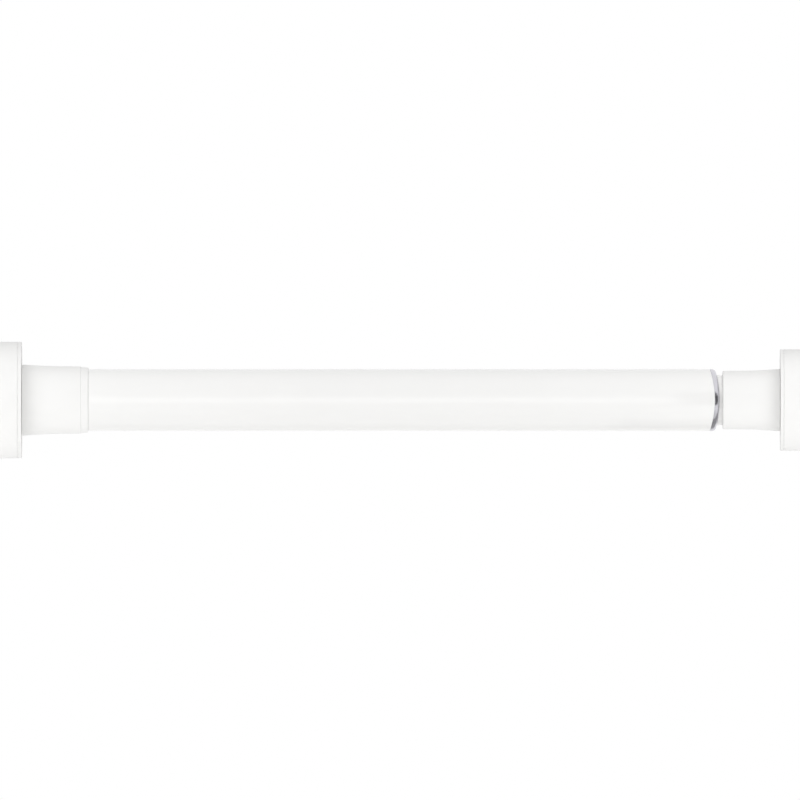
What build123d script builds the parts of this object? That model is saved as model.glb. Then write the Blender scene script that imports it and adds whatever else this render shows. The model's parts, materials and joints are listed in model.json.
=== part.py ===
from build123d import *
from math import cos, radians
import os

os.makedirs("parts", exist_ok=True)

# A spring-loaded shower curtain rod that stands between two walls. Sizes are in millimetres.
# The rod lies along X, with its axis at Y = 0 and Z = 0. X = 0 is the face of the left foot on
# its wall, and X grows towards the right wall. The rod is drawn pushed together.

# Tubes
outer_tube_diameter = 32.0
outer_tube_wall = 0.8
outer_tube_length = 351.25
inner_tube_diameter = 26.0
inner_tube_wall = 0.8

# Feet: a rubber pad on a moulded flange
left_foot_diameter = 60.0
left_pad_depth = 12.15
left_flange_thickness = 2.1
right_foot_diameter = 52.3
right_pad_depth = 10.75
right_flange_thickness = 1.9
pad_wall = 3.0
pad_floor = 4.0
pad_edge_rounding = 1.5
seam_groove_width = 0.2
seam_groove_depth = 0.4
seam_rounding = 0.08
flange_edge_rounding = 0.3
tread_centre_radius = 8.0
tread_pitch = 4.0
tread_groove_width = 1.5
tread_groove_depth = 1.0
tread_margin = 4.0
flange_hub_radius = 9.0
flange_rim_width = 2.0
flange_rim_depth = 4.0
flange_rib_count = 8
flange_rib_thickness = 1.6
flange_rib_depth = 5.0

# Collars: a web on the foot's screw, a socket round the tube and a spigot inside it
collar_web = 2.95
collar_gap = 0.1
collar_root_rounding = 0.2
collar_taper_blend = 200.0
spigot_length = 24.0
spigot_wall = 1.6
spigot_play = 0.3
spigot_rib_count = 8
spigot_rib_width = 1.6
mouth_relief = 0.3
mouth_relief_depth = 0.8
left_collar_length = 34.15
left_taper_length = 16.2
left_root_wall = 2.3
left_waist_wall = 1.45
left_end_wall = 1.33
left_lip_length = 3.7
left_lip_wall = 1.0
left_lip_end_wall = 0.75
lip_rounding = 0.25
lip_end_rounding = 0.35
right_collar_length = 29.6
right_taper_length = 13.6
right_root_wall = 3.05
right_waist_wall = 2.12
right_end_wall = 2.05
right_tip_rounding = 0.8

# Swivel screw that holds a foot to its collar, and its washer
swivel_thread_radius = 2.1
swivel_shoulder_radius = 2.5
swivel_head_radius = 4.0
swivel_head_height = 2.6
swivel_point_length = 1.4
swivel_washer_radius = 5.5
swivel_washer_thickness = 0.8
head_rounding = 1.3
recess_length = 4.2
recess_width = 0.9
recess_depth = 1.4

# Bright mouth ring: the tube and the ring reach further at the front and back by the saddle
mouth_saddle = 2.45
ring_width = 3.2
ring_rounding = 2.2
ring_sleeve_length = 6.0
ring_sleeve_wall = 0.9
closed_gap = 0.8
bush_length = 20.0
bush_groove_count = 6
bush_groove_width = 4.0
bush_groove_depth = 0.9
bush_slit_width = 2.0

# Twist lock: a split cam on an eccentric hub, at the left end of the spindle
lock_clear_of_collar = 8.0
cam_eccentricity = 1.0
cam_play = 1.0
cam_width = 14.0
cam_slit_width = 2.5
cam_groove_count = 20
cam_groove_radius = 0.5
hub_boss_radius = 9.0
hub_flange_radius = 13.0
hub_flange_thickness = 2.5
hub_spring_spigot_radius = 6.0
hub_spring_spigot_length = 8.0
hub_spigot_rounding = 0.6
cam_washer_radius = 12.0
cam_washer_thickness = 1.2
cam_screw_radius = 2.0
cam_screw_length = 10.0
cam_screw_head_radius = 3.8
cam_screw_head_height = 2.6

# Spring, and the spindle that it drives
spring_length = 66.0
spring_wire = 1.9
spring_radius = 7.6
spring_turns = 9
spindle_radius = 3.5
spindle_flat_depth = 1.0
spindle_thread_radius = 2.5
spindle_thread_spare = 2.0
plug_length = 18.0
plug_flange_thickness = 4.0
plug_shell = 1.6
plug_boss_radius = 6.6
plug_end_wall = 3.0
plug_edge_rounding = 0.35
plug_rib_count = 6
plug_rib_thickness = 1.4
spring_washer_thickness = 1.2
spring_washer_radius = 10.5
stop_washer_radius = 8.0
stop_washer_thickness = 1.5
stop_nut_flats = 8.0
stop_nut_height = 4.0
stop_nut_dome_height = 1.2

# Clearances
swivel_fit = 0.05
slide_fit = 0.05
guide_fit = 0.1
ring_clearance = 0.3
face_gap = 0.1

# Places along the rod
outer_tube_radius = outer_tube_diameter / 2
outer_tube_bore = outer_tube_radius - outer_tube_wall
inner_tube_radius = inner_tube_diameter / 2
inner_tube_bore = inner_tube_radius - inner_tube_wall
left_foot_face = left_pad_depth + left_flange_thickness
right_foot_face = right_pad_depth + right_flange_thickness
outer_tube_x = left_foot_face + collar_gap + collar_web
mouth_x = outer_tube_x + outer_tube_length
right_collar_tip_x = mouth_x + mouth_saddle + ring_width + closed_gap
rod_length = right_collar_tip_x + right_collar_length + collar_gap + right_foot_face
inner_tube_end_x = rod_length - right_foot_face - collar_gap - collar_web
cam_screw_x = outer_tube_x + spigot_length + lock_clear_of_collar
cam_washer_x = cam_screw_x + cam_screw_head_height
hub_x = cam_washer_x + cam_washer_thickness
hub_boss_length = cam_width + 2 * face_gap
hub_flange_x = hub_x + hub_boss_length
spring_x = hub_flange_x + hub_flange_thickness
spring_washer_x = spring_x + spring_length
plug_flange_x = spring_washer_x + spring_washer_thickness
inner_tube_x = plug_flange_x + plug_flange_thickness
stop_washer_x = inner_tube_x + plug_length + face_gap
stop_nut_x = stop_washer_x + stop_washer_thickness
spindle_end_x = stop_nut_x + stop_nut_height + stop_nut_dome_height + spindle_thread_spare
saddle_radius = (outer_tube_radius ** 2 + mouth_saddle ** 2) / (2 * mouth_saddle)


def turned(*corners):
    """Solid turned about the rod's axis from corners of (x, radius, rounding)."""
    points = [(x, radius) for x, radius, rounding in corners]
    roundings = [rounding for x, radius, rounding in corners]
    outline = FilletPolyline(points, radius=roundings, close=True)
    return revolve(make_face(outline), Axis.X)


def disc(x, length, radius, bore=0.0):
    """Plain disc or sleeve from x over a length, with a bore."""
    return turned((x, bore, 0), (x, radius, 0), (x + length, radius, 0), (x + length, bore, 0))


def around(count, piece, start=0.0):
    """Copies of a piece evenly spaced about the rod's axis."""
    return [Rot(start + 360 / count * step, 0, 0) * piece for step in range(count)]


def block(x, length, inner_radius, outer_radius, width):
    """Radial block over a length, between two distances from the axis, towards +Z."""
    height = outer_radius - inner_radius
    return Pos(x + length / 2, 0, inner_radius + height / 2) * Box(length, width, height)


def cross_recess(x, radius_limit):
    """Cross-shaped driver recess cut into a head that faces +X at x."""
    length = min(recess_length, 2 * radius_limit)
    arm = Pos(x - recess_depth / 2, 0, 0) * Box(recess_depth, length, recess_width)
    return arm + Rot(90, 0, 0) * arm


def at_right_wall(piece):
    """A piece drawn from the left wall plane, turned round onto the right wall."""
    return Pos(rod_length, 0, 0) * mirror(piece, about=Plane.YZ)


# The feet are drawn with the wall at x = 0; the right one is turned round onto its wall.


def foot_pad(diameter, depth):
    """Rubber cup with a ringed tread on the wall, open towards its flange."""
    radius = diameter / 2
    cavity_radius = radius - pad_wall
    pad = turned(
        (0, 0, 0),
        (0, radius, pad_edge_rounding),
        (depth, radius, seam_rounding),
        (depth, cavity_radius, 0),
        (pad_floor, cavity_radius, 0),
        (pad_floor, 0, 0),
    )
    groove_radius = tread_centre_radius
    while groove_radius + tread_groove_width < radius - tread_margin:
        pad -= disc(0, tread_groove_depth, groove_radius + tread_groove_width, groove_radius)
        groove_radius += tread_pitch
    return pad


def foot_flange(diameter, depth, thickness):
    """Moulded disc with a seam groove at the pad, and a hub, ribs and a locating rim inside it."""
    radius = diameter / 2
    cavity_radius = radius - pad_wall
    rim_radius = cavity_radius - flange_rim_width
    face_x = depth + thickness
    flange = turned(
        (depth, 0, 0),
        (depth, radius - seam_groove_depth, 0),
        (depth + seam_groove_width, radius - seam_groove_depth, 0),
        (depth + seam_groove_width, radius, seam_rounding),
        (face_x, radius, flange_edge_rounding),
        (face_x, 0, 0),
    )
    flange += disc(pad_floor, depth - pad_floor, flange_hub_radius)
    flange += disc(depth - flange_rim_depth, flange_rim_depth, cavity_radius, rim_radius)
    rib_inner = flange_hub_radius - flange_rim_width
    rib_outer = cavity_radius - flange_rim_width / 2
    rib = block(depth - flange_rib_depth, flange_rib_depth, rib_inner, rib_outer, flange_rib_thickness)
    for copy in around(flange_rib_count, rib):
        flange += copy
    hole_x = pad_floor + flange_rim_width / 2
    return flange - disc(hole_x, face_x - hole_x, swivel_thread_radius)


def swivel_screw(face_x):
    """Pan-head shoulder screw: it turns with the foot inside the collar's web."""
    shoulder_x = face_x + collar_gap - face_gap
    head_x = face_x + collar_gap + collar_web + face_gap + swivel_washer_thickness
    top_x = head_x + swivel_head_height
    point_x = pad_floor + flange_rim_width / 2
    screw = turned(
        (point_x, 0, 0),
        (point_x, swivel_thread_radius - swivel_point_length, 0),
        (point_x + swivel_point_length, swivel_thread_radius, 0),
        (shoulder_x, swivel_thread_radius, 0),
        (shoulder_x, swivel_shoulder_radius, 0),
        (head_x, swivel_shoulder_radius, 0),
        (head_x, swivel_head_radius, 0),
        (top_x, swivel_head_radius, head_rounding),
        (top_x, 0, 0),
    )
    return screw - cross_recess(top_x, swivel_head_radius)


def swivel_washer(face_x):
    """Steel washer between the screw's head and the collar's web."""
    washer_x = face_x + collar_gap + collar_web + face_gap
    return disc(washer_x, swivel_washer_thickness, swivel_washer_radius, swivel_shoulder_radius)


# The collars follow their tube's size: each outer line is the tube's radius plus a wall.


def collar(face_x, length, tube_radius, tube_bore, outside):
    """Collar from its web at the foot to its mouth on the tube, with a ribbed spigot."""
    root_x = face_x + collar_gap
    seat_x = root_x + collar_web
    tip_x = root_x + length
    spigot_radius = tube_bore - spigot_play
    web_bore = swivel_shoulder_radius + swivel_fit
    body = turned(
        (root_x, web_bore, 0),
        *[(root_x + distance, tube_radius + wall, rounding) for distance, wall, rounding in outside],
        (tip_x, tube_radius + mouth_relief, 0),
        (tip_x - mouth_relief_depth, tube_radius + mouth_relief, 0),
        (tip_x - mouth_relief_depth, tube_radius, 0),
        (seat_x, tube_radius, 0),
        (seat_x, spigot_radius, 0),
        (seat_x + spigot_length, spigot_radius, spigot_play),
        (seat_x + spigot_length, spigot_radius - spigot_wall, 0),
        (seat_x, spigot_radius - spigot_wall, 0),
        (seat_x, web_bore, 0),
    )
    rib_length = spigot_length - spigot_wall
    rib_inner = spigot_radius - spigot_wall / 2
    rib = block(seat_x, rib_length, rib_inner, tube_bore + spigot_play, spigot_rib_width)
    rib = rib & disc(seat_x, rib_length, tube_bore)
    for copy in around(spigot_rib_count, rib):
        body += copy
    return body


def left_collar_outside():
    """Outer line of the left collar: a taper that eases off, then a stepped-down lip."""
    lip_x = left_collar_length - left_lip_length
    return [
        (0, left_root_wall, collar_root_rounding),
        (left_taper_length, left_waist_wall, collar_taper_blend),
        (lip_x - lip_rounding, left_end_wall, lip_rounding),
        (lip_x, left_lip_wall, lip_rounding / 2),
        (left_collar_length, left_lip_end_wall, lip_end_rounding),
    ]


def right_collar_outside():
    """Outer line of the right collar: straight, then a flare at the foot."""
    return [
        (0, right_root_wall, collar_root_rounding),
        (right_taper_length, right_waist_wall, collar_taper_blend),
        (right_collar_length, right_end_wall, right_tip_rounding),
    ]


# The mouth of the outer tube is cut by a wide upright cylinder, and the ring follows the cut.


def saddle_cut(x):
    """Upright cylinder whose nearest side is at x."""
    return Pos(x + saddle_radius, 0, 0) * Cylinder(saddle_radius, 2 * outer_tube_diameter)


def outer_tube():
    """Steel outer tube from its seat in the left collar to its mouth."""
    sleeve = disc(outer_tube_x, outer_tube_length + mouth_saddle, outer_tube_radius, outer_tube_bore)
    return sleeve - saddle_cut(mouth_x)


def mouth_ring():
    """Bright metal ring with a rounded front edge and a sleeve inside the tube."""
    front_x = mouth_x + ring_width
    ring_bore = inner_tube_radius + ring_clearance
    blank = disc(mouth_x, ring_width + mouth_saddle, outer_tube_radius, ring_bore)
    head = Rot(90, 0, 0) * blank & saddle_cut(mouth_x)
    head = head - saddle_cut(front_x)
    middle_x = mouth_x + ring_width / 2
    front_edges = []
    for edge in head.edges():
        reach = edge.bounding_box()
        if reach.min.X > middle_x and reach.max.Z > ring_bore + ring_clearance:
            front_edges.append(edge)
    head = fillet(front_edges, ring_rounding)
    sleeve_x = mouth_x - ring_sleeve_length
    sleeve_reach = ring_sleeve_length + mouth_saddle + ring_width / 2
    sleeve = disc(sleeve_x, sleeve_reach, outer_tube_bore, outer_tube_bore - ring_sleeve_wall)
    return head + (sleeve - saddle_cut(middle_x))


def mouth_bush():
    """Split nylon guide inside the outer tube, with grease grooves in its bore."""
    bush_x = mouth_x - ring_sleeve_length - bush_length
    bush_bore = inner_tube_radius + slide_fit
    bush = disc(bush_x, bush_length, outer_tube_bore, bush_bore)
    groove = block(bush_x, bush_length, 0, bush_bore + bush_groove_depth, bush_groove_width)
    for copy in around(bush_groove_count, groove, 180 / bush_groove_count):
        bush -= copy
    return bush - block(bush_x, bush_length, 0, outer_tube_radius, bush_slit_width)


def inner_tube():
    """Steel inner tube from the guide plug to its seat in the right collar."""
    return disc(inner_tube_x, inner_tube_end_x - inner_tube_x, inner_tube_radius, inner_tube_bore)


# The spindle has one flat along its top, so the plug and the hub keep it from turning.


def spindle_bar(x, length, play):
    """Round bar with its flat, grown by a play all round."""
    bar = disc(x, length, spindle_radius + play)
    flat_height = spindle_radius - spindle_flat_depth + play
    return bar - block(x, length, flat_height, 2 * spindle_radius, 3 * spindle_radius)


def guide_plug():
    """Ribbed plug in the end of the inner tube, whose flange runs in the outer tube."""
    end_x = inner_tube_x + plug_length
    plug = turned(
        (plug_flange_x, 0, 0),
        (plug_flange_x, outer_tube_bore - guide_fit, plug_edge_rounding),
        (inner_tube_x, outer_tube_bore - guide_fit, plug_edge_rounding),
        (inner_tube_x, inner_tube_bore, 0),
        (end_x, inner_tube_bore, plug_edge_rounding),
        (end_x, inner_tube_bore - plug_shell, 0),
        (inner_tube_x + plug_end_wall, inner_tube_bore - plug_shell, 0),
        (inner_tube_x + plug_end_wall, plug_boss_radius, 0),
        (end_x, plug_boss_radius, 0),
        (end_x, 0, 0),
    )
    rib_inner = plug_boss_radius - plug_shell / 2
    rib_outer = inner_tube_bore - plug_shell / 2
    rib = block(inner_tube_x, plug_length, rib_inner, rib_outer, plug_rib_thickness)
    for copy in around(plug_rib_count, rib):
        plug += copy
    bore_length = plug_flange_thickness + plug_length
    return plug - spindle_bar(plug_flange_x, bore_length, slide_fit)


def spindle():
    """Steel spindle from the hub, through the spring and the plug, to the stop nut."""
    bar = spindle_bar(hub_x, stop_washer_x - hub_x, 0)
    bar += disc(stop_washer_x, spindle_end_x - stop_washer_x, spindle_thread_radius)
    return bar - disc(hub_x, cam_screw_length - cam_washer_thickness, cam_screw_radius)


def off_centre(piece):
    """A piece of the twist lock moved onto the eccentric axis."""
    return Pos(0, 0, cam_eccentricity) * piece


def eccentric_hub():
    """Moulded hub: an off-centre boss for the cam, a flange and a seat for the spring."""
    hub = off_centre(disc(hub_x, hub_boss_length, hub_boss_radius))
    hub += disc(hub_flange_x, hub_flange_thickness, hub_flange_radius)
    hub += turned(
        (spring_x, 0, 0),
        (spring_x, hub_spring_spigot_radius, 0),
        (spring_x + hub_spring_spigot_length, hub_spring_spigot_radius, hub_spigot_rounding),
        (spring_x + hub_spring_spigot_length, 0, 0),
    )
    hub_length = spring_x + hub_spring_spigot_length - hub_x
    return hub - spindle_bar(hub_x, hub_length, 0)


def cam_ring():
    """Split, grooved cam that wedges in the outer tube when it swings on the boss."""
    cam_x = hub_x + face_gap
    cam_radius = outer_tube_bore - cam_play
    cam = disc(cam_x, cam_width, cam_radius)
    cam -= off_centre(disc(cam_x, cam_width, hub_boss_radius + swivel_fit))
    groove = Rot(0, 90, 0) * Cylinder(cam_groove_radius, cam_width)
    groove = Pos(cam_x + cam_width / 2, 0, cam_radius) * groove
    for copy in around(cam_groove_count, groove, 180 / cam_groove_count):
        cam -= copy
    return cam - Rot(180, 0, 0) * block(cam_x, cam_width, 0, outer_tube_radius, cam_slit_width)


def cam_washer():
    """Steel washer that keeps the cam on its boss."""
    return disc(cam_washer_x, cam_washer_thickness, cam_washer_radius, cam_screw_radius)


def cam_screw():
    """Pan-head screw through the washer into the spindle's end, its head to the left."""
    screw = turned(
        (cam_screw_x, 0, 0),
        (cam_screw_x, cam_screw_head_radius, head_rounding),
        (cam_washer_x, cam_screw_head_radius, 0),
        (cam_washer_x, cam_screw_radius, 0),
        (cam_washer_x + cam_screw_length, cam_screw_radius, 0),
        (cam_washer_x + cam_screw_length, 0, 0),
    )
    recess = mirror(cross_recess(0, cam_screw_head_radius), about=Plane.YZ)
    return screw - Pos(cam_screw_x, 0, 0) * recess


def tension_spring():
    """Compression spring between the hub's flange and the plug's washer."""
    wire_radius = spring_wire / 2
    height = spring_length - spring_wire - face_gap
    start_x = spring_x + (spring_length - height) / 2
    pitch = height / spring_turns
    path = Helix(pitch, height, spring_radius, center=(start_x, 0, 0), direction=(1, 0, 0))
    section = Plane(origin=path @ 0, z_dir=path % 0) * Circle(wire_radius)
    return sweep(section, path, is_frenet=True)


def spring_washer():
    """Steel washer that spreads the spring's load on the plug."""
    bore = spindle_radius + ring_clearance
    return disc(spring_washer_x, spring_washer_thickness, spring_washer_radius, bore)


def stop_washer():
    """Steel washer that meets the plug when the spring is let out."""
    return disc(stop_washer_x, stop_washer_thickness, stop_washer_radius, spindle_thread_radius)


def stop_nut():
    """Lock nut with a domed collar on the spindle's threaded end."""
    corner_radius = stop_nut_flats / 2 / cos(radians(30))
    hexagon = Plane.YZ.offset(stop_nut_x) * RegularPolygon(corner_radius, 6)
    nut = extrude(hexagon, stop_nut_height)
    dome_x = stop_nut_x + stop_nut_height
    nut += turned(
        (dome_x, 0, 0),
        (dome_x, stop_nut_flats / 2, 0),
        (dome_x + stop_nut_dome_height, stop_nut_flats / 2, stop_nut_dome_height / 2),
        (dome_x + stop_nut_dome_height, 0, 0),
    )
    return nut - disc(stop_nut_x, stop_nut_height + stop_nut_dome_height, spindle_thread_radius)


left_collar = collar(
    left_foot_face, left_collar_length, outer_tube_radius, outer_tube_bore, left_collar_outside()
)
right_collar = collar(
    right_foot_face, right_collar_length, inner_tube_radius, inner_tube_bore, right_collar_outside()
)
right_flange = foot_flange(right_foot_diameter, right_pad_depth, right_flange_thickness)

pieces = {
    "left_pad": foot_pad(left_foot_diameter, left_pad_depth),
    "left_flange": foot_flange(left_foot_diameter, left_pad_depth, left_flange_thickness),
    "left_swivel_screw": swivel_screw(left_foot_face),
    "left_swivel_washer": swivel_washer(left_foot_face),
    "left_collar": left_collar,
    "outer_tube": outer_tube(),
    "mouth_ring": mouth_ring(),
    "mouth_bush": mouth_bush(),
    "inner_tube": inner_tube(),
    "guide_plug": guide_plug(),
    "spring_washer": spring_washer(),
    "tension_spring": tension_spring(),
    "spindle": spindle(),
    "eccentric_hub": eccentric_hub(),
    "cam_ring": cam_ring(),
    "cam_washer": cam_washer(),
    "cam_screw": cam_screw(),
    "stop_washer": stop_washer(),
    "stop_nut": stop_nut(),
    "right_collar": at_right_wall(right_collar),
    "right_pad": at_right_wall(foot_pad(right_foot_diameter, right_pad_depth)),
    "right_flange": at_right_wall(right_flange),
    "right_swivel_screw": at_right_wall(swivel_screw(right_foot_face)),
    "right_swivel_washer": at_right_wall(swivel_washer(right_foot_face)),
}

for name, piece in pieces.items():
    export_step(piece, f"parts/{name}.step")
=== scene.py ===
import json
import math
import bpy
import bmesh
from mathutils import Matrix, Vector


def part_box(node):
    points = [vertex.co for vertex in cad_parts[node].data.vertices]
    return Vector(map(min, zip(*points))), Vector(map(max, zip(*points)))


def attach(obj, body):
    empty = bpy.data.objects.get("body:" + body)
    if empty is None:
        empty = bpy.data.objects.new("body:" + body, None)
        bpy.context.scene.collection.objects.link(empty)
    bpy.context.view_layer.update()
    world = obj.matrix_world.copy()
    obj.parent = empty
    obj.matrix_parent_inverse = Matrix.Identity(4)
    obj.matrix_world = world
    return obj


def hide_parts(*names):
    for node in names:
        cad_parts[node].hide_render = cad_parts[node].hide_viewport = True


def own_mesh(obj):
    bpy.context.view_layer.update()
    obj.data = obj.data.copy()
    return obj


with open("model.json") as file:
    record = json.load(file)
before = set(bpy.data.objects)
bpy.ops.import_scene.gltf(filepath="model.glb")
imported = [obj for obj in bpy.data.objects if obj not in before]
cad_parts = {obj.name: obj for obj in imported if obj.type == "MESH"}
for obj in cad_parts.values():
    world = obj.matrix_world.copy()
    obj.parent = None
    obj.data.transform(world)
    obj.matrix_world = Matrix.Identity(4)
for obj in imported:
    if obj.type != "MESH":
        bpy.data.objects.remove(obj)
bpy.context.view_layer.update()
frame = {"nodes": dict(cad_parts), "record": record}  # nodes and the imported record

mm = 0.001


# Camera: square on and far off, framed as the photograph is

photoFraming = {
    "pictureWidth": 800,      # pixels
    "wideTubePixels": 62.15,  # the wide tube's diameter in the picture
    "wallColumn": -5.9,       # the left wall face lies just outside the picture
    "axisRow": 400.1,         # the rod's axis in the picture
    "distance": 19.0,         # metres from the rod, as the picture shows no foreshortening
    "clipEnd": 100.0,         # metres, well behind the rod
    "sensor": 36.0,           # millimetres
}


def makeCamera(spec):
    tubeLow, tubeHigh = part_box("outer_tube")
    metresPerPixel = (tubeHigh.z - tubeLow.z) / spec["wideTubePixels"]
    viewWidth = spec["pictureWidth"] * metresPerPixel
    camera = bpy.data.objects.new("photoCamera", bpy.data.cameras.new("photoCamera"))
    camera.data.sensor_width = spec["sensor"]
    camera.data.lens = spec["sensor"] * spec["distance"] / viewWidth
    camera.data.clip_end = spec["clipEnd"]
    middle = spec["pictureWidth"] / 2
    camera.location = (
        (middle - spec["wallColumn"]) * metresPerPixel,
        -spec["distance"],
        (spec["axisRow"] - middle) * metresPerPixel,
    )
    camera.rotation_euler = (math.pi / 2, 0, 0)
    bpy.context.scene.collection.objects.link(camera)
    bpy.context.scene.camera = camera


makeCamera(photoFraming)
print("camera placed")


# Node helpers

def addNode(tree, kind, at, **settings):
    node = tree.nodes.new(kind)
    node.location = at
    for name, value in settings.items():
        setattr(node, name, value)
    return node


def addMath(tree, operation, at, *values):
    node = addNode(tree, "ShaderNodeMath", at, operation=operation)
    for socket, value in zip(node.inputs, values):
        if isinstance(value, bpy.types.NodeSocket):
            tree.links.new(value, socket)
        else:
            socket.default_value = value
    return node.outputs[0]


def addRange(tree, at, value, fromLow, fromHigh, toLow, toHigh, smooth=False):
    node = addNode(tree, "ShaderNodeMapRange", at)
    if smooth:
        node.interpolation_type = "SMOOTHSTEP"
    tree.links.new(value, node.inputs["Value"])
    node.inputs["From Min"].default_value = fromLow
    node.inputs["From Max"].default_value = fromHigh
    node.inputs["To Min"].default_value = toLow
    node.inputs["To Max"].default_value = toHigh
    return node.outputs["Result"]


def newGroup(name, inputs, outputs):
    group = bpy.data.node_groups.new(name, "ShaderNodeTree")
    for label, kind, value in inputs:
        socket = group.interface.new_socket(name=label, in_out="INPUT", socket_type=kind)
        socket.default_value = value
    for label, kind in outputs:
        group.interface.new_socket(name=label, in_out="OUTPUT", socket_type=kind)
    entry = addNode(group, "NodeGroupInput", (-1100, 0))
    leave = addNode(group, "NodeGroupOutput", (700, 0))
    return group, entry, leave


def addNoise(tree, at, vector, perMetre, detail, roughness):
    node = addNode(tree, "ShaderNodeTexNoise", at)
    tree.links.new(vector, node.inputs["Vector"])
    tree.links.new(perMetre, node.inputs["Scale"])
    node.inputs["Detail"].default_value = detail
    node.inputs["Roughness"].default_value = roughness
    return node.outputs["Fac"]


def addPlace(group, entry, size):  # the place on the object, and the effect's sizes in a metre
    place = addNode(group, "ShaderNodeTexCoord", (-1100, -300)).outputs["Object"]
    perMetre = addMath(group, "DIVIDE", (-900, 0), 1.0, entry.outputs[size])
    return place, perMetre


def addDirectSight(tree, path, x, y):  # one where a ray sees straight, by mirror or through glass
    rays = path.outputs
    seen = addMath(tree, "MAXIMUM", (x, y), rays["Is Camera Ray"], rays["Is Glossy Ray"])
    return addMath(tree, "MAXIMUM", (x + 200, y - 50), seen, rays["Is Transmission Ray"])


# Effects that several finishes share; every size is in metres on the object

def makeShadeDrift():  # slow, faint change of shade over a surface
    group, entry, leave = newGroup(
        "Shade drift",
        [
            ("Colour", "NodeSocketColor", (0.8, 0.8, 0.8, 1)),
            ("Amount", "NodeSocketFloat", 0.02),
            ("Patch Size", "NodeSocketFloat", 0.05),
        ],
        [("Colour", "NodeSocketColor")],
    )
    place, perMetre = addPlace(group, entry, "Patch Size")
    cloud = addNoise(group, (-700, 0), place, perMetre, 4.0, 0.55)
    swing = addRange(group, (-450, 0), cloud, 0.3, 0.7, -1.0, 1.0)
    amount = addMath(group, "MULTIPLY", (-250, 0), swing, entry.outputs["Amount"])
    factor = addMath(group, "ADD", (-50, 0), amount, 1.0)
    shade = addNode(group, "ShaderNodeVectorMath", (200, 0), operation="SCALE")
    group.links.new(entry.outputs["Colour"], shade.inputs[0])
    group.links.new(factor, shade.inputs["Scale"])
    group.links.new(shade.outputs["Vector"], leave.inputs["Colour"])
    return group


def makeOrangePeel():  # soft dimples of sprayed and baked coating
    group, entry, leave = newGroup(
        "Orange peel",
        [("Dimple Size", "NodeSocketFloat", 0.001)],
        [("Height", "NodeSocketFloat"), ("Sheen Break", "NodeSocketFloat")],
    )
    place, perMetre = addPlace(group, entry, "Dimple Size")
    dimples = addNoise(group, (-650, 100), place, perMetre, 1.0, 0.35)
    wider = addMath(group, "MULTIPLY", (-700, -200), perMetre, 0.12)
    patches = addNoise(group, (-450, -200), place, wider, 3.0, 0.6)
    sheenBreak = addRange(group, (-150, -200), patches, 0.3, 0.7, 0.0, 1.0)
    group.links.new(dimples, leave.inputs["Height"])
    group.links.new(sheenBreak, leave.inputs["Sheen Break"])
    return group


def makeMouldGrain():  # fine spark-eroded grain of a mould, with a soft drift in its gloss
    group, entry, leave = newGroup(
        "Mould grain",
        [("Grain Size", "NodeSocketFloat", 0.0004)],
        [("Height", "NodeSocketFloat"), ("Sheen Break", "NodeSocketFloat")],
    )
    place, perMetre = addPlace(group, entry, "Grain Size")
    grains = addNode(group, "ShaderNodeTexVoronoi", (-650, 150), feature="SMOOTH_F1")
    grains.inputs["Smoothness"].default_value = 0.8
    group.links.new(place, grains.inputs["Vector"])
    group.links.new(perMetre, grains.inputs["Scale"])
    fine = addNoise(group, (-650, -100), place, perMetre, 2.0, 0.5)
    height = addMath(group, "ADD", (-350, 50), grains.outputs["Distance"], fine)
    wider = addMath(group, "MULTIPLY", (-700, -350), perMetre, 0.03)
    patches = addNoise(group, (-450, -350), place, wider, 3.0, 0.6)
    sheenBreak = addRange(group, (-150, -350), patches, 0.3, 0.7, 0.0, 1.0)
    group.links.new(height, leave.inputs["Height"])
    group.links.new(sheenBreak, leave.inputs["Sheen Break"])
    return group


def makeTurnedLines():  # rings left by a lathe or a polishing wheel, about the rod's own axis
    group, entry, leave = newGroup(
        "Turned lines",
        [("Line Pitch", "NodeSocketFloat", 0.0002)],
        [("Height", "NodeSocketFloat"), ("Line Mask", "NodeSocketFloat")],
    )
    place, perMetre = addPlace(group, entry, "Line Pitch")
    apart = addNode(group, "ShaderNodeSeparateXYZ", (-900, -300))
    group.links.new(place, apart.inputs[0])
    acrossSquared = addMath(group, "MULTIPLY", (-700, -250), apart.outputs["Y"], apart.outputs["Y"])
    upSquared = addMath(group, "MULTIPLY", (-700, -420), apart.outputs["Z"], apart.outputs["Z"])
    radiusSquared = addMath(group, "ADD", (-500, -300), acrossSquared, upSquared)
    radius = addMath(group, "SQRT", (-350, -300), radiusSquared)
    ringPlace = addNode(group, "ShaderNodeCombineXYZ", (-200, -300))
    group.links.new(apart.outputs["X"], ringPlace.inputs["X"])
    group.links.new(radius, ringPlace.inputs["Y"])
    lines = addNoise(group, (0, -100), ringPlace.outputs[0], perMetre, 3.0, 0.7)
    lineMask = addRange(group, (300, -100), lines, 0.35, 0.65, 0.0, 1.0)
    group.links.new(lines, leave.inputs["Height"])
    group.links.new(lineMask, leave.inputs["Line Mask"])
    return group


hairlineStrokes = (  # each direction's turn, in radians, and stretch
    ((0.3, 0.9, 0.2), (1, 9, 7)),
    ((0.8, -0.5, 1.1), (7, 1, 8)),
)


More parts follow.
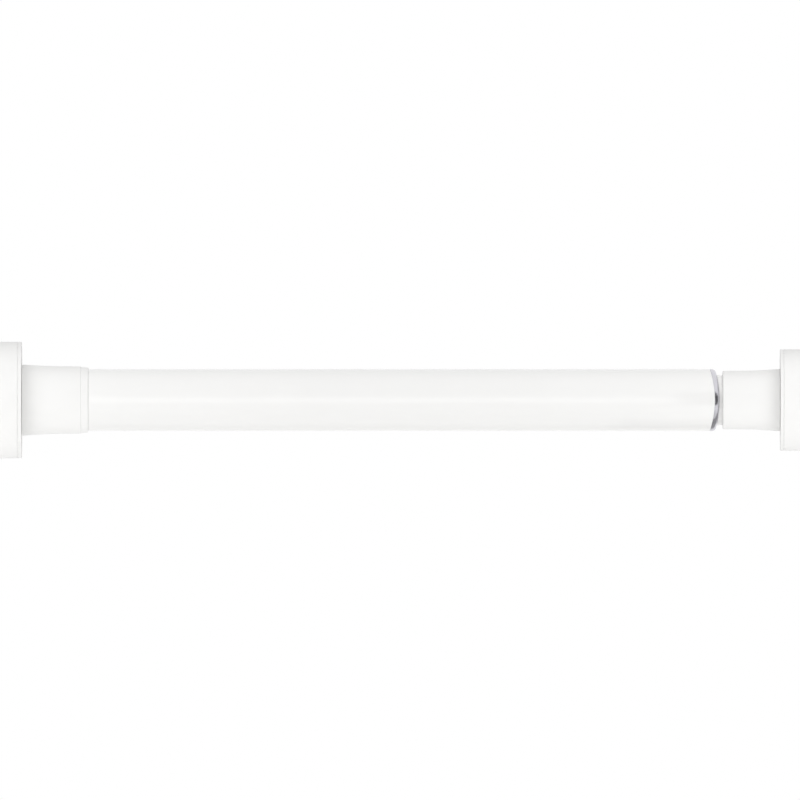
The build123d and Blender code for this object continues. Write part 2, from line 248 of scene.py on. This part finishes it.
def makeHandlingMarks():  # sparse hairlines left by hands and packing
    group, entry, leave = newGroup(
        "Handling marks",
        [("Spacing", "NodeSocketFloat", 0.02), ("Hairline Width", "NodeSocketFloat", 0.02)],
        [("Mark Mask", "NodeSocketFloat")],
    )
    place, perMetre = addPlace(group, entry, "Spacing")
    thin = addMath(group, "MULTIPLY", (-450, 200), entry.outputs["Hairline Width"], 0.15)
    strokes = []
    for turn, stretch in hairlineStrokes:
        row = -350 * len(strokes)
        drawnOut = addNode(group, "ShaderNodeMapping", (-850, row - 200))
        drawnOut.inputs["Rotation"].default_value = turn
        drawnOut.inputs["Scale"].default_value = stretch
        group.links.new(place, drawnOut.inputs["Vector"])
        streaks = addNoise(group, (-650, row), drawnOut.outputs[0], perMetre, 1.0, 0.4)
        centred = addMath(group, "SUBTRACT", (-450, row), streaks, 0.5)
        offMiddle = addMath(group, "ABSOLUTE", (-300, row), centred)
        strokes.append(addMath(group, "LESS_THAN", (-150, row), offMiddle, thin))
    hairlines = addMath(group, "MAXIMUM", (50, -200), *strokes)
    where = addNoise(group, (-650, -800), place, perMetre, 2.0, 0.5)
    near = addRange(group, (-300, -800), where, 0.5, 0.7, 0.0, 1.0, smooth=True)
    markMask = addMath(group, "MULTIPLY", (400, 0), hairlines, near)
    group.links.new(markMask, leave.inputs["Mark Mask"])
    return group


shadeDrift = makeShadeDrift()
orangePeel = makeOrangePeel()
mouldGrain = makeMouldGrain()
turnedLines = makeTurnedLines()
handlingMarks = makeHandlingMarks()
print("shared surface effects built")


# Finishes, one for each material slot of the record

def newFinish(name, spec):
    finish = bpy.data.materials.new(name)
    finish.use_nodes = True
    tree = finish.node_tree
    shader = tree.nodes["Principled BSDF"]
    shader.location = (300, 0)
    tree.nodes["Material Output"].location = (650, 0)
    for label, value in spec["shader"].items():
        shader.inputs[label].default_value = value
    drift = addNode(tree, "ShaderNodeGroup", (-100, 200), node_tree=shadeDrift)
    drift.inputs["Colour"].default_value = (*spec["colour"], 1)
    drift.inputs["Amount"].default_value = spec["drift"]
    drift.inputs["Patch Size"].default_value = spec["driftPatch"]
    tree.links.new(drift.outputs["Colour"], shader.inputs["Base Color"])
    return finish, tree, shader


def addSheen(tree, shader, spec, sheenBreak):  # drifts between two roughnesses, with rougher marks
    low, high = spec["roughness"]
    roughness = addRange(tree, (-250, -250), sheenBreak, 0.0, 1.0, low, high)
    if "markSpacing" in spec:
        marks = addNode(tree, "ShaderNodeGroup", (-500, -50), node_tree=handlingMarks)
        marks.inputs["Spacing"].default_value = spec["markSpacing"]
        mask = marks.outputs["Mark Mask"]
        marked = addMath(tree, "MULTIPLY", (-250, -50), mask, spec["markRoughness"])
        roughness = addMath(tree, "ADD", (0, -100), roughness, marked)
    tree.links.new(roughness, shader.inputs["Roughness"])


def addRelief(tree, shader, height, depth):
    bump = addNode(tree, "ShaderNodeBump", (50, -350))
    bump.inputs["Strength"].default_value = 1.0
    bump.inputs["Distance"].default_value = depth
    tree.links.new(height, bump.inputs["Height"])
    tree.links.new(bump.outputs["Normal"], shader.inputs["Normal"])


whiteCoatedSteel = {
    "colour": (0.905, 0.902, 0.892),
    "drift": 0.006,
    "driftPatch": 0.035,
    "roughness": (0.34, 0.42),
    "markRoughness": 0.05,
    "dimpleSize": 1.6 * mm,
    "dimpleDepth": 0.004 * mm,
    "markSpacing": 45 * mm,
    "shader": {
        "Specular IOR Level": 0.2,
        "Coat Weight": 1.0,
        "Coat IOR": 1.6,
        "Coat Roughness": 0.16,
    },
}


def makeWhiteCoatedSteel(spec):
    finish, tree, shader = newFinish("whiteCoatedSteel", spec)
    peel = addNode(tree, "ShaderNodeGroup", (-500, -250), node_tree=orangePeel)
    peel.inputs["Dimple Size"].default_value = spec["dimpleSize"]
    addSheen(tree, shader, spec, peel.outputs["Sheen Break"])
    addRelief(tree, shader, peel.outputs["Height"], spec["dimpleDepth"])
    return finish


whiteMoulding = {
    "colour": (0.9, 0.897, 0.888),
    "drift": 0.006,
    "driftPatch": 0.02,
    "roughness": (0.36, 0.44),
    "grainSize": 0.35 * mm,
    "grainDepth": 0.004 * mm,
    "shader": {"Specular IOR Level": 0.2},
}
footRubber = {
    "colour": (0.905, 0.902, 0.893),
    "drift": 0.01,
    "driftPatch": 0.015,
    "roughness": (0.55, 0.68),
    "grainSize": 0.5 * mm,
    "grainDepth": 0.012 * mm,
    "shader": {"Specular IOR Level": 0.2},
}
guideNylon = {
    "colour": (0.8, 0.79, 0.73),
    "drift": 0.02,
    "driftPatch": 0.012,
    "roughness": (0.42, 0.52),
    "grainSize": 0.4 * mm,
    "grainDepth": 0.008 * mm,
    "shader": {"Specular IOR Level": 0.5, "Subsurface Weight": 0.1, "Subsurface Scale": 0.002},
}
lockMoulding = {
    "colour": (0.03, 0.031, 0.034),
    "drift": 0.08,
    "driftPatch": 0.01,
    "roughness": (0.4, 0.55),
    "grainSize": 0.4 * mm,
    "grainDepth": 0.01 * mm,
    "shader": {"Specular IOR Level": 0.5},
}
camMoulding = {
    "colour": (0.42, 0.43, 0.45),
    "drift": 0.05,
    "driftPatch": 0.01,
    "roughness": (0.45, 0.6),
    "grainSize": 0.45 * mm,
    "grainDepth": 0.012 * mm,
    "shader": {"Specular IOR Level": 0.5},
}


def makeMoulded(name, spec):
    finish, tree, shader = newFinish(name, spec)
    grain = addNode(tree, "ShaderNodeGroup", (-500, -250), node_tree=mouldGrain)
    grain.inputs["Grain Size"].default_value = spec["grainSize"]
    addSheen(tree, shader, spec, grain.outputs["Sheen Break"])
    addRelief(tree, shader, grain.outputs["Height"], spec["grainDepth"])
    return finish


brightRing = {
    "colour": (0.66, 0.655, 0.7),
    "drift": 0.03,
    "driftPatch": 0.006,
    "roughness": (0.15, 0.25),
    "linePitch": 0.12 * mm,
    "lineDepth": 0.0006 * mm,
    "markSpacing": 8 * mm,
    "markRoughness": 0.12,
    "shader": {"Metallic": 1.0},
}
zincSteel = {
    "colour": (0.55, 0.56, 0.58),
    "drift": 0.09,
    "driftPatch": 0.005,
    "roughness": (0.24, 0.4),
    "linePitch": 0.16 * mm,
    "lineDepth": 0.0015 * mm,
    "markSpacing": 9 * mm,
    "markRoughness": 0.15,
    "shader": {"Metallic": 1.0},
}
springWire = {
    "colour": (0.32, 0.32, 0.34),
    "drift": 0.12,
    "driftPatch": 0.004,
    "roughness": (0.26, 0.42),
    "linePitch": 0.3 * mm,
    "lineDepth": 0.002 * mm,
    "markSpacing": 6 * mm,
    "markRoughness": 0.15,
    "shader": {"Metallic": 1.0},
}


def makeMetal(name, spec):
    finish, tree, shader = newFinish(name, spec)
    lines = addNode(tree, "ShaderNodeGroup", (-500, -250), node_tree=turnedLines)
    lines.inputs["Line Pitch"].default_value = spec["linePitch"]
    addSheen(tree, shader, spec, lines.outputs["Line Mask"])
    addRelief(tree, shader, lines.outputs["Height"], spec["lineDepth"])
    return finish


finishes = {
    "white_coated_steel": makeWhiteCoatedSteel(whiteCoatedSteel),
    "white_moulding": makeMoulded("whiteMoulding", whiteMoulding),
    "foot_rubber": makeMoulded("footRubber", footRubber),
    "guide_nylon": makeMoulded("guideNylon", guideNylon),
    "lock_moulding": makeMoulded("lockMoulding", lockMoulding),
    "cam_moulding": makeMoulded("camMoulding", camMoulding),
    "bright_ring": makeMetal("brightRing", brightRing),
    "zinc_steel": makeMetal("zincSteel", zincSteel),
    "spring_wire": makeMetal("springWire", springWire),
}
slotOfNode = {row["node"]: row["material_slot"] for row in frame["record"]["subparts"]}


def dressNodes():
    for name, node in frame["nodes"].items():
        for holder in node.material_slots:
            holder.material = finishes[slotOfNode[name]]


dressNodes()
print("finishes made and put on the nodes:", len(finishes))


# Turned pieces: a closed outline of (x, radius) taken round the rod's axis

def roundCorners(corners, steps=6):  # corners of (x, radius, rounding), as on the drawing
    outline = []
    count = len(corners)
    for index, (x, radius, rounding) in enumerate(corners):
        here = Vector((x, radius))
        if rounding == 0:
            outline.append(here)
            continue
        back = (Vector(corners[index - 1][:2]) - here).normalized()
        ahead = (Vector(corners[(index + 1) % count][:2]) - here).normalized()
        halfTurn = back.angle(ahead) / 2
        middle = here + (back + ahead).normalized() * rounding / math.sin(halfTurn)
        reach = rounding / math.tan(halfTurn)
        first = here + back * reach - middle
        last = here + ahead * reach - middle
        sweep = first.angle_signed(last)
        for step in range(steps + 1):
            turn = -sweep * step / steps
            arm = Vector((
                first.x * math.cos(turn) - first.y * math.sin(turn),
                first.x * math.sin(turn) + first.y * math.cos(turn),
            ))
            outline.append(middle + arm)
    return outline


def turnPiece(name, outline, around, shift):  # shift gives what is added to x at a point and y
    mesh = bmesh.new()
    rings = []
    for point in outline:
        ring = []
        for step in range(around):
            angle = 2 * math.pi * step / around
            y, z = point.y * math.cos(angle), point.y * math.sin(angle)
            ring.append(mesh.verts.new((point.x + shift(point, y), y, z)))
        rings.append(ring)
    for index, ring in enumerate(rings):
        following = rings[(index + 1) % len(rings)]
        for step in range(around):
            after = (step + 1) % around
            mesh.faces.new((ring[step], ring[after], following[after], following[step]))
    bmesh.ops.remove_doubles(mesh, verts=mesh.verts, dist=1e-7)
    bmesh.ops.recalc_face_normals(mesh, faces=mesh.faces)
    return finishMesh(name, mesh)


def finishMesh(name, mesh, sharpAngle=35):
    data = bpy.data.meshes.new(name)
    mesh.to_mesh(data)
    mesh.free()
    data.shade_smooth()
    data.set_sharp_from_angle(angle=math.radians(sharpAngle))
    piece = bpy.data.objects.new(name, data)
    bpy.context.scene.collection.objects.link(piece)
    return piece


def standFor(piece, node, body):
    piece.data.materials.append(finishes[slotOfNode[node]])
    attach(piece, body)
    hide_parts(node)


# Wide tube: its coated edge is just eased where it meets the bright ring

wideTube = {
    "wall": 0.8 * mm,
    "saddle": 2.45 * mm,  # how much further the mouth reaches at the front and back
    "mouthEasing": 0.18 * mm,
    "around": 256,
}


def mouthReach(spec, radius):  # the mouth is cut by a wide upright cylinder
    cutRadius = (radius ** 2 + spec["saddle"] ** 2) / (2 * spec["saddle"])
    return lambda y: cutRadius - math.sqrt(cutRadius ** 2 - y ** 2)


def makeWideTube(spec):
    low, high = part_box("outer_tube")
    radius = high.z
    bore = radius - spec["wall"]
    mouth = high.x - spec["saddle"]
    reach = mouthReach(spec, radius)
    outline = roundCorners([
        (low.x, bore, 0),
        (low.x, radius, 0),
        (mouth, radius, spec["mouthEasing"]),
        (mouth, bore, spec["mouthEasing"]),
    ])
    halfway = (low.x + mouth) / 2

    def saddleShift(point, y):
        return reach(y) if point.x > halfway else 0.0

    piece = turnPiece("wideTube", outline, spec["around"], saddleShift)
    standFor(piece, "outer_tube", "outer_tube")


makeWideTube(wideTube)
print("wide tube made")


# Tension spring: closed, ground ends, and open turns between

tensionSpring = {
    "wire": 1.9 * mm,
    "turns": 11,
    "closedTurns": 1.0,  # at each end
    "easeTurns": 0.5,    # over which a closed end opens
    "endDepth": 0.2,     # from a ground end to the wire's middle there, in wire diameters
    "stepsPerTurn": 36,
    "wireSides": 14,
    "travel": 25 * mm,   # how far the joint packs it up
}


def makeTensionSpring(spec):
    low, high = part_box("tension_spring")
    wireRadius = spec["wire"] / 2
    coilRadius = high.z - wireRadius
    length = high.x - low.x
    count = spec["turns"] * spec["stepsPerTurn"]
    pitches = []
    for step in range(count):
        turn = (step + 0.5) / spec["stepsPerTurn"]
        fromEnd = min(turn, spec["turns"] - turn) - spec["closedTurns"] + spec["easeTurns"] / 2
        opening = min(max(fromEnd / spec["easeTurns"], 0.0), 1.0)
        pitches.append(opening * opening * (3 - 2 * opening))
    closedRise = spec["wire"] / spec["stepsPerTurn"]
    endDepth = spec["wire"] * spec["endDepth"]
    openRise = (length - 2 * endDepth - closedRise * count) / sum(pitches)
    mesh = bmesh.new()
    x = low.x + endDepth
    rings = []
    for step in range(count + 1):
        angle = 2 * math.pi * step / spec["stepsPerTurn"]
        outward = Vector((0, math.cos(angle), math.sin(angle)))
        ring = []
        for side in range(spec["wireSides"]):
            roll = 2 * math.pi * side / spec["wireSides"]
            along = wireRadius * math.sin(roll)
            place = outward * (coilRadius + wireRadius * math.cos(roll))
            place.x = min(max(x + along, low.x), high.x)  # ends ground flat
            ring.append(mesh.verts.new(place))
        rings.append(ring)
        if step < count:
            x += closedRise + openRise * pitches[step]
    for ring, following in zip(rings, rings[1:]):
        for side in range(spec["wireSides"]):
            after = (side + 1) % spec["wireSides"]
            mesh.faces.new((ring[side], ring[after], following[after], following[side]))
    mesh.faces.new(rings[0])
    mesh.faces.new(rings[-1])
    bmesh.ops.recalc_face_normals(mesh, faces=mesh.faces)
    piece = finishMesh("tensionSpring", mesh, sharpAngle=50)
    standFor(piece, "tension_spring", "lock_spindle")
    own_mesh(piece)


makeTensionSpring(tensionSpring)
print("tension spring made")


# Studio: a white tent, dimmer towards the rod's ends and high up behind it

tent = {
    "level": 1.25,             # light of the tent on the object
    "endLevel": 0.2,           # share of it left along the rod
    "endSpread": (0.2, 0.85),  # where it dims, from 0 across the rod to 1 along it
    "backLevel": 0.3,          # share of it left high up behind
    "backRise": 151,           # degrees over the top, from the front
    "backSpread": (38, 18),    # degrees to either side
}
justOverOne = 1.0001  # keeps a look straight along the rod from a division by zero


def makeTent(spec):
    world = bpy.data.worlds.new("whiteTent")
    world.use_nodes = True
    bpy.context.scene.world = world
    tree = world.node_tree
    tree.nodes.clear()
    leave = addNode(tree, "ShaderNodeOutputWorld", (1100, 0))
    direction = addNode(tree, "ShaderNodeTexCoord", (-1100, 0)).outputs["Generated"]
    apart = addNode(tree, "ShaderNodeSeparateXYZ", (-900, 200))
    tree.links.new(direction, apart.inputs[0])
    alongRod = addMath(tree, "ABSOLUTE", (-700, 200), apart.outputs["X"])
    near, far = spec["endSpread"]
    endShare = addRange(tree, (-300, 200), alongRod, near, far, 1.0, spec["endLevel"], smooth=True)
    rise = math.radians(spec["backRise"])
    aim = addNode(tree, "ShaderNodeVectorMath", (-900, -200), operation="DOT_PRODUCT")
    tree.links.new(direction, aim.inputs[0])
    aim.inputs[1].default_value = (0, -math.cos(rise), math.sin(rise))
    alongSquared = addMath(tree, "MULTIPLY", (-700, -50), alongRod, alongRod)
    acrossSquared = addMath(tree, "SUBTRACT", (-520, -50), justOverOne, alongSquared)
    across = addMath(tree, "SQRT", (-350, -50), acrossSquared)
    toBack = addMath(tree, "DIVIDE", (-350, -200), aim.outputs["Value"], across)
    outside, inside = (math.cos(math.radians(angle)) for angle in spec["backSpread"])
    backLevel = spec["backLevel"]
    backShare = addRange(tree, (-150, -200), toBack, outside, inside, 1.0, backLevel, smooth=True)
    share = addMath(tree, "MULTIPLY", (50, 100), endShare, backShare)
    strength = addMath(tree, "MULTIPLY", (250, 100), share, spec["level"])
    lit = addNode(tree, "ShaderNodeBackground", (450, 100))
    lit.inputs["Color"].default_value = (1, 1, 1, 1)
    tree.links.new(strength, lit.inputs["Strength"])
    white = addNode(tree, "ShaderNodeBackground", (450, -100))
    white.inputs["Color"].default_value = (1, 1, 1, 1)
    path = addNode(tree, "ShaderNodeLightPath", (50, 500))
    mix = addNode(tree, "ShaderNodeMixShader", (850, 0))
    tree.links.new(addDirectSight(tree, path, 300, 450), mix.inputs[0])
    tree.links.new(lit.outputs[0], mix.inputs[1])
    tree.links.new(white.outputs[0], mix.inputs[2])
    tree.links.new(mix.outputs[0], leave.inputs["Surface"])


# Soft boxes: radiance is straight ahead, and a grid holds the beam to the spread in degrees

softLights = {
    "frontBox": {"at": (0.2, -2.0, 0.0), "size": (1.2, 0.7), "spread": 90, "radiance": 0.85},
    "leftBox": {"at": (-0.28, -0.4, 0.0), "size": (0.4, 0.8), "spread": 150, "radiance": 1.0},
    "rightBox": {"at": (0.697, -0.4, 0.0), "size": (0.4, 0.8), "spread": 150, "radiance": 1.0},
    "lowBox": {"at": (0.2, 0.0, -0.44), "size": (1.2, 1.0), "spread": 80, "radiance": 1.25},
}
mirroredLights = ("frontBox",)  # the others light the rod without showing in its gloss


def makeSoftLight(name, spec):
    light = bpy.data.lights.new(name, "AREA")
    light.shape = "RECTANGLE"
    light.size, light.size_y = spec["size"]
    light.spread = math.radians(spec["spread"])
    halfSpread = light.spread / 2
    gridGain = math.tan(halfSpread) / (math.tan(halfSpread) - halfSpread)
    light.energy = spec["radiance"] * math.pi * light.size * light.size_y / gridGain
    lamp = bpy.data.objects.new(name, light)
    lamp.location = spec["at"]
    aim = Vector((spec["at"][0], 0, 0)) - lamp.location
    lamp.rotation_euler = aim.to_track_quat("-Z", "Y").to_euler()
    lamp.visible_camera = False
    lamp.visible_glossy = name in mirroredLights
    bpy.context.scene.collection.objects.link(lamp)


# Dark cards: what the bright ring mirrors, in degrees round and above it

darkCards = {
    "upperCard": {"azimuth": (-3, 140), "elevation": (-18, 27), "cloth": "blackCloth"},
    "lowerCard": {"azimuth": (-30, 110), "elevation": (-125, -71), "cloth": "greyCloth"},
}
cardDistance = 0.12  # metres from the ring's middle
cardCloths = {"blackCloth": 0.2, "greyCloth": 0.45}
mirrorDistance = (0.112, 0.012)  # metres off at which a surface mirrors a card, and give or take


def makeCardCloth(name, shade):  # clear to everything but the ring and what is beside it
    cloth = bpy.data.materials.new(name)
    cloth.use_nodes = True
    tree = cloth.node_tree
    shader = tree.nodes["Principled BSDF"]
    shader.inputs["Base Color"].default_value = (shade, shade, shade, 1)
    shader.inputs["Roughness"].default_value = 1.0
    rayLength = addNode(tree, "ShaderNodeLightPath", (-400, -100)).outputs["Ray Length"]
    near = addMath(tree, "COMPARE", (-200, -100), rayLength, *mirrorDistance)
    tree.links.new(near, shader.inputs["Alpha"])
    return cloth


def makeDarkCard(name, spec, middle, cloth, steps=12):  # a sheet bent round the ring
    low, high = spec["elevation"]
    left, right = spec["azimuth"]
    corners, faces = [], []
    for row in range(steps + 1):
        rise = math.radians(low + (high - low) * row / steps)
        for column in range(steps + 1):
            turn = math.radians(left + (right - left) * column / steps)
            out = math.cos(turn)
            arm = Vector((math.sin(turn), -out * math.cos(rise), out * math.sin(rise)))
            corners.append(middle + arm * cardDistance)
    for row in range(steps):
        for column in range(steps):
            first = row * (steps + 1) + column
            faces.append((first, first + steps + 1, first + steps + 2, first + 1))
    data = bpy.data.meshes.new(name)
    data.from_pydata(corners, [], faces)
    data.materials.append(cloth)
    card = bpy.data.objects.new(name, data)
    bpy.context.scene.collection.objects.link(card)
    card.visible_camera = False
    card.visible_diffuse = False
    card.visible_transmission = False
    card.visible_shadow = False


# Floor: keeps the rod's soft shadow, and is clear from below

studioFloor = {
    "middle": (0.2, 0.0, -0.45),
    "radius": 1.2,
    "around": 96,
    "colour": (0.93, 0.93, 0.925),
    "shader": {"Roughness": 0.9, "Specular IOR Level": 0.1},
    "fade": (0.15, 0.85),  # metres from its middle over which it runs out into the white
}


def makeFloorPaint(spec):
    paint = bpy.data.materials.new("floorPaint")
    paint.use_nodes = True
    tree = paint.node_tree
    shader = tree.nodes["Principled BSDF"]
    shader.inputs["Base Color"].default_value = (*spec["colour"], 1)
    for label, value in spec["shader"].items():
        shader.inputs[label].default_value = value
    place = addNode(tree, "ShaderNodeTexCoord", (-900, 300)).outputs["Object"]
    outward = addNode(tree, "ShaderNodeVectorMath", (-700, 300), operation="LENGTH")
    tree.links.new(place, outward.inputs[0])
    near, far = spec["fade"]
    fade = addRange(tree, (-500, 300), outward.outputs["Value"], near, far, 0.0, 1.0, smooth=True)
    path = addNode(tree, "ShaderNodeLightPath", (-900, 700))
    seen = addDirectSight(tree, path, -700, 600)
    white = addNode(tree, "ShaderNodeEmission", (0, -450))
    white.inputs["Color"].default_value = (1, 1, 1, 1)
    runOut = addNode(tree, "ShaderNodeMixShader", (400, 200))
    tree.links.new(addMath(tree, "MULTIPLY", (-250, 400), fade, seen), runOut.inputs[0])
    tree.links.new(shader.outputs[0], runOut.inputs[1])
    tree.links.new(white.outputs[0], runOut.inputs[2])
    under = addNode(tree, "ShaderNodeNewGeometry", (-900, -200)).outputs["Backfacing"]
    clear = addNode(tree, "ShaderNodeBsdfTransparent", (0, -600))
    oneSided = addNode(tree, "ShaderNodeMixShader", (650, 100))
    lookedUp = addMath(tree, "MULTIPLY", (-250, -250), under, path.outputs["Is Camera Ray"])
    tree.links.new(lookedUp, oneSided.inputs[0])
    tree.links.new(runOut.outputs[0], oneSided.inputs[1])
    tree.links.new(clear.outputs[0], oneSided.inputs[2])
    leave = tree.nodes["Material Output"]
    leave.location = (900, 100)
    tree.links.new(oneSided.outputs[0], leave.inputs["Surface"])
    return paint


def makeFloor(spec):
    rim = []
    for step in range(spec["around"]):
        angle = 2 * math.pi * step / spec["around"]
        rim.append((spec["radius"] * math.cos(angle), spec["radius"] * math.sin(angle), 0.0))
    data = bpy.data.meshes.new("studioFloor")
    data.from_pydata(rim, [], [tuple(range(spec["around"]))])
    data.materials.append(makeFloorPaint(spec))
    floor = bpy.data.objects.new("studioFloor", data)
    floor.location = spec["middle"]
    bpy.context.scene.collection.objects.link(floor)


makeTent(tent)
for lightName, lightSpec in softLights.items():
    makeSoftLight(lightName, lightSpec)
ringLow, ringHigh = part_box("mouth_ring")
for cardName, cardSpec in darkCards.items():
    cloth = makeCardCloth(cardSpec["cloth"], cardCloths[cardSpec["cloth"]])
    makeDarkCard(cardName, cardSpec, Vector((ringHigh.x, 0, 0)), cloth)
makeFloor(studioFloor)
bpy.context.scene.view_settings.view_transform = "Standard"
print("studio lit")
